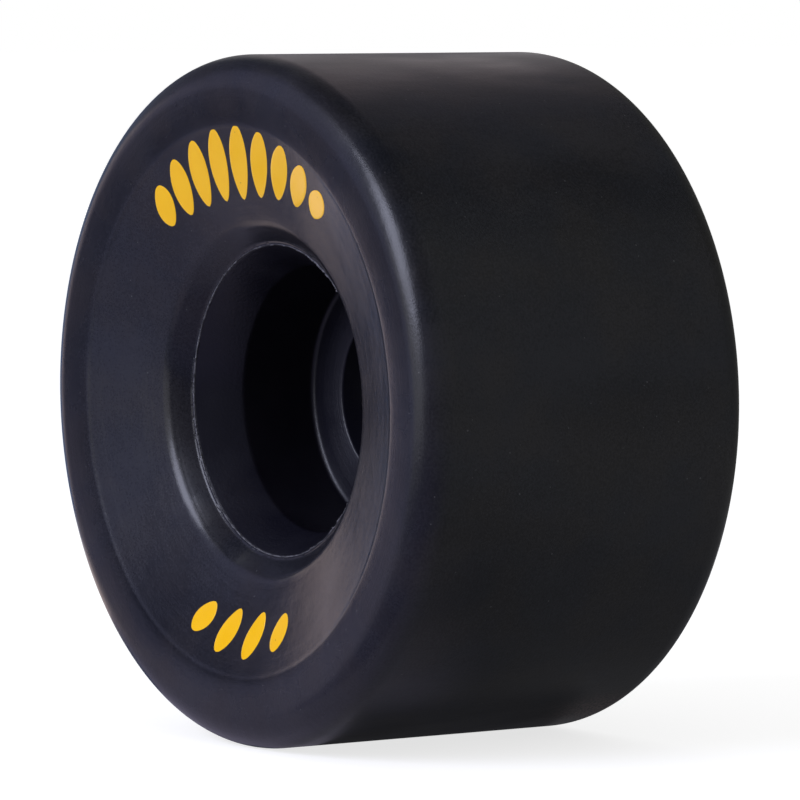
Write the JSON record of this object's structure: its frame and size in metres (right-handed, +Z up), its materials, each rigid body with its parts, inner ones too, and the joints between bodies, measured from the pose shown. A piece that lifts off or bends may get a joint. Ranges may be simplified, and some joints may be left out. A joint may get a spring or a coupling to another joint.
{
  "type": "roller skate wheel",
  "caption": "Wide cast skate wheel with a flat tread and a dished face, on a moulded core with two bearing seats and a ball bearing that turns on the axle.",
  "frame": {"origin": "on the axle, halfway across the tyre", "axes": "+Y along the axle towards the truck, so the dished nut side faces -Y; +Z up"},
  "size_m": [0.057, 0.032, 0.057],
  "materials": {
    "tyre": "cast urethane, semi-gloss blue-black",
    "print_ink": "printed yellow ink, semi-matt",
    "core": "moulded nylon, matt near-black",
    "ring_steel": "ground bearing steel",
    "ball_steel": "polished bearing steel",
    "cage": "moulded nylon, tan",
    "shield_steel": "pressed sheet steel",
    "clip_steel": "spring steel"
  },
  "bodies": {
    "axle_ring": {"bearing_inner_ring": "ring_steel"},
    "wheel": {"tyre": "tyre", "hub_core": "core", "bearing_outer_ring": "ring_steel", "truck_side_shield": "shield_steel", "web_side_shield": "shield_steel", "truck_side_clip": "clip_steel", "web_side_clip": "clip_steel"},
    "ball_train": {"ball_cage": "cage", "ball_1": "ball_steel", "ball_2": "ball_steel", "ball_3": "ball_steel", "ball_4": "ball_steel", "ball_5": "ball_steel", "ball_6": "ball_steel", "ball_7": "ball_steel"}
  },
  "joints": [
    {"name": "wheel_spin", "type": "hinge", "parent": "axle_ring", "child": "wheel", "pos_m": [0, 0, 0], "axis": [0, 1, 0], "continuous": true},
    {"name": "cage_orbit", "type": "hinge", "parent": "axle_ring", "child": "ball_train", "pos_m": [0, 0, 0], "axis": [0, 1, 0], "continuous": true}
  ],
  "couplings": [
    {"joint": "cage_orbit", "follows": "wheel_spin", "ratio": 0.6323}
  ]
}
